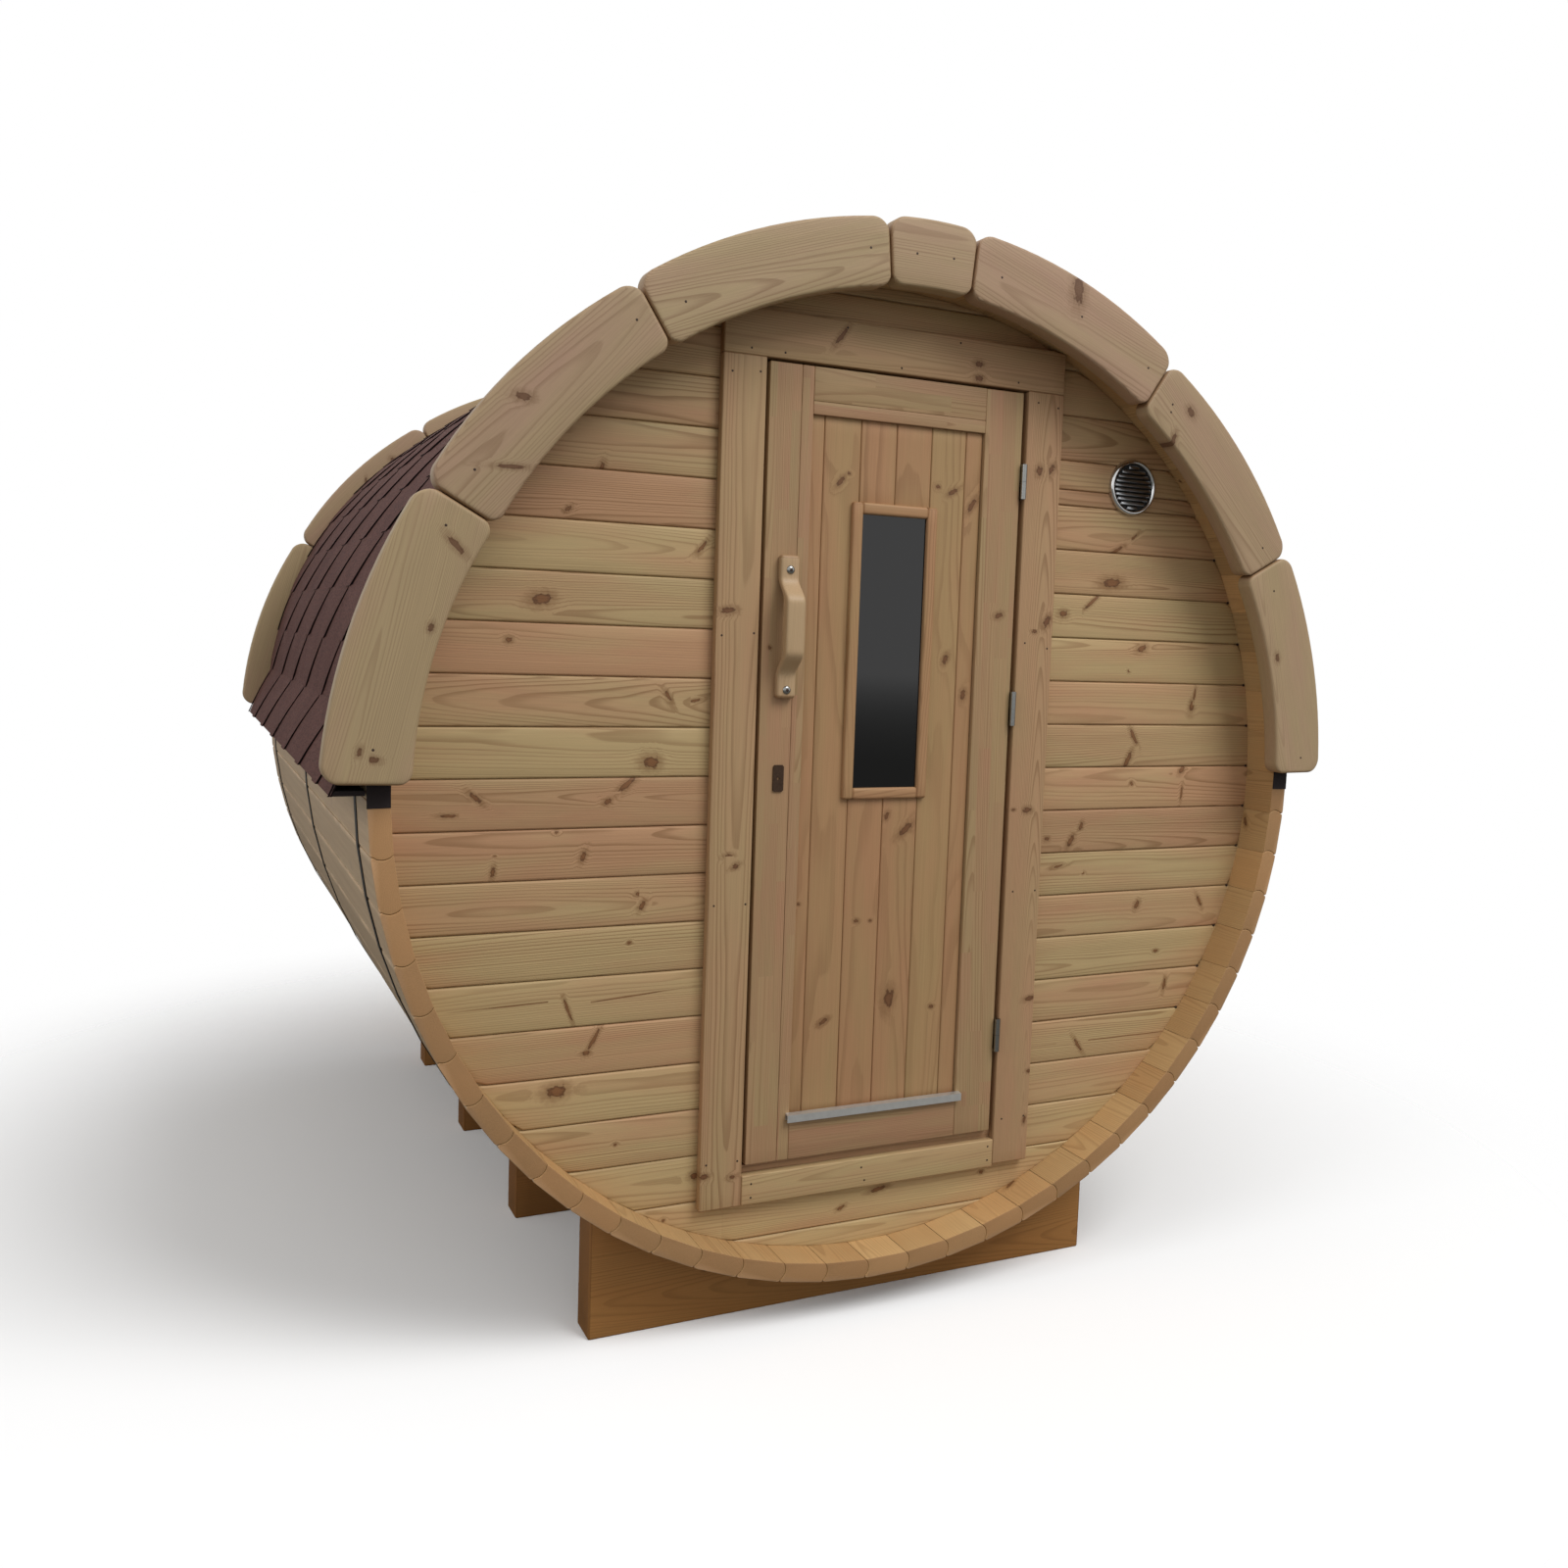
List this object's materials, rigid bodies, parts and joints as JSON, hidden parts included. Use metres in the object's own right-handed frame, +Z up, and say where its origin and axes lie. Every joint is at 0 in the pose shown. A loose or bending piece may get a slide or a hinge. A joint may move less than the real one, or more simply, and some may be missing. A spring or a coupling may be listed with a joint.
{
  "type": "barrel sauna",
  "caption": "Coopered wooden sauna cabin lying on saddle cradles, with a shingled upper half, arched fascia boards, and a hinged door with a small window.",
  "frame": {"origin": "on the ground, under the middle of the barrel", "axes": "+Z up, +Y along the barrel from the door end to the back, +X to the right seen from the door"},
  "size_m": [2.1513, 2.184, 2.147],
  "materials": {
    "stave_wood": "planed and weathered pine staves",
    "wall_wood": "planed pine boards with knots",
    "fascia_wood": "sanded pine, oiled",
    "frame_wood": "planed pine, oiled",
    "door_wood": "laminated pine, oiled",
    "cradle_wood": "dark stained pressure-treated planks",
    "floor_wood": "planed pine",
    "shingles": "mineral-coated bitumen shingles",
    "hoop_steel": "dark coated steel strip",
    "hinge_steel": "zinc-plated steel",
    "vent_metal": "bright chromed cover",
    "drip_aluminium": "mill-finish aluminium",
    "lock_bronze": "dark bronzed plate",
    "pane": "dark insulated glass"
  },
  "bodies": {
    "barrel": {"barrel_staves_1": "stave_wood", "barrel_staves_2": "stave_wood", "barrel_staves_3": "stave_wood", "barrel_staves_4": "stave_wood", "barrel_staves_5": "stave_wood", "barrel_staves_6": "stave_wood", "cradle_1": "cradle_wood", "cradle_2": "cradle_wood", "cradle_3": "cradle_wood", "cradle_4": "cradle_wood", "front_wall_left": "wall_wood", "front_wall_right": "wall_wood", "front_wall_over_door": "wall_wood", "front_wall_under_door": "wall_wood", "back_wall": "wall_wood", "casing_left": "frame_wood", "casing_right": "frame_wood", "casing_top": "frame_wood", "sill_board": "frame_wood", "door_jambs": "frame_wood", "head_jamb": "frame_wood", "threshold": "frame_wood", "door_stops": "frame_wood", "front_fascia": "fascia_wood", "back_fascia": "fascia_wood", "roof_left": "shingles", "roof_right": "shingles", "roof_ridge": "shingles", "eave_battens": "cradle_wood", "hoops": "hoop_steel", "hinge_frame_halves": "hinge_steel", "wall_vent": "vent_metal", "floor_bearers": "floor_wood", "floor_boards": "floor_wood"},
    "door": {"door_stile_left": "door_wood", "door_stile_right": "door_wood", "door_rail_top": "door_wood", "door_rail_bottom": "door_wood", "door_panel": "door_wood", "window_frame": "door_wood", "window_glass": "pane", "door_handle": "door_wood", "lock_plate": "lock_bronze", "drip_strip": "drip_aluminium", "hinge_leaf_halves": "hinge_steel"}
  },
  "joints": [
    {"name": "door_hinge", "type": "hinge", "parent": "barrel", "child": "door", "pos_m": [0.2925, -0.99, 1.081], "axis": [0, 0, 1], "range_deg": [0, 110]}
  ]
}
